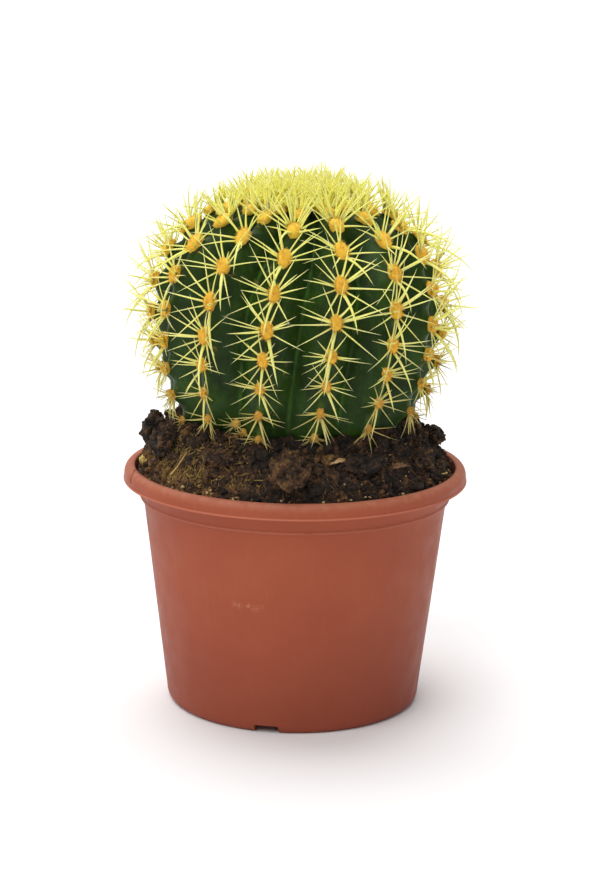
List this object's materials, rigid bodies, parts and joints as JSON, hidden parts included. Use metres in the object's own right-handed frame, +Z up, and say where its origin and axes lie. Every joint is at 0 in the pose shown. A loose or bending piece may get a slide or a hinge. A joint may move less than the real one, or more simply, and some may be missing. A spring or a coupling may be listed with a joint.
{
  "type": "potted round cactus",
  "caption": "Golden barrel cactus, a low ball with twisted ribs and yellow spines, rooted in mounded peat in a tapered round nursery pot with a rolled lip, drain holes and foot notches.",
  "frame": {"origin": "centre of the pot's foot, on the surface that the pot stands on", "axes": "+Z up along the pot's axis; the front of the plant faces -Y; +X is to the right seen from the front"},
  "size_m": [0.1318, 0.13, 0.2056],
  "materials": {
    "pot_plastic": "terracotta-brown injection-moulded plastic, satin, with a fine even grain and faint pale scuffs",
    "peat": "dark brown moist peat, very rough, with crumbs and fibres",
    "peat_clods": "clods of the same peat, from near black to reddish brown",
    "cactus_skin": "dark green waxy plant skin with a bluish soft sheen, lighter along the grooves",
    "spines": "pale yellow, slightly translucent spines, brightest at the crown, tan low down",
    "felt": "short dense orange-yellow felt of the areoles and the crown",
    "bark": "pale weathered bark",
    "mineral_grain": "porous yellowish mineral grain",
    "straw": "dry pale stems"
  },
  "bodies": {
    "root": {"pot": "pot_plastic", "peat": "peat", "cactus_body": "cactus_skin", "spines_rib_01": "spines", "spines_rib_02": "spines", "spines_rib_03": "spines", "spines_rib_04": "spines", "spines_rib_05": "spines", "spines_rib_06": "spines", "spines_rib_07": "spines", "spines_rib_08": "spines", "spines_rib_09": "spines", "spines_rib_10": "spines", "spines_rib_11": "spines", "spines_rib_12": "spines", "spines_rib_13": "spines", "spines_rib_14": "spines", "crown_wool": "felt", "clod_front": "peat_clods", "clod_front_left": "peat_clods", "clod_left": "peat_clods", "clod_left_back": "peat_clods", "clod_front_right": "peat_clods", "clod_right": "peat_clods", "clod_right_back": "peat_clods", "clod_back_right": "peat_clods", "clod_back": "peat_clods", "clod_back_left": "peat_clods", "bark_chip": "bark", "perlite_grain": "mineral_grain", "straw_left": "straw", "straw_right": "straw"}
  },
  "joints": []
}
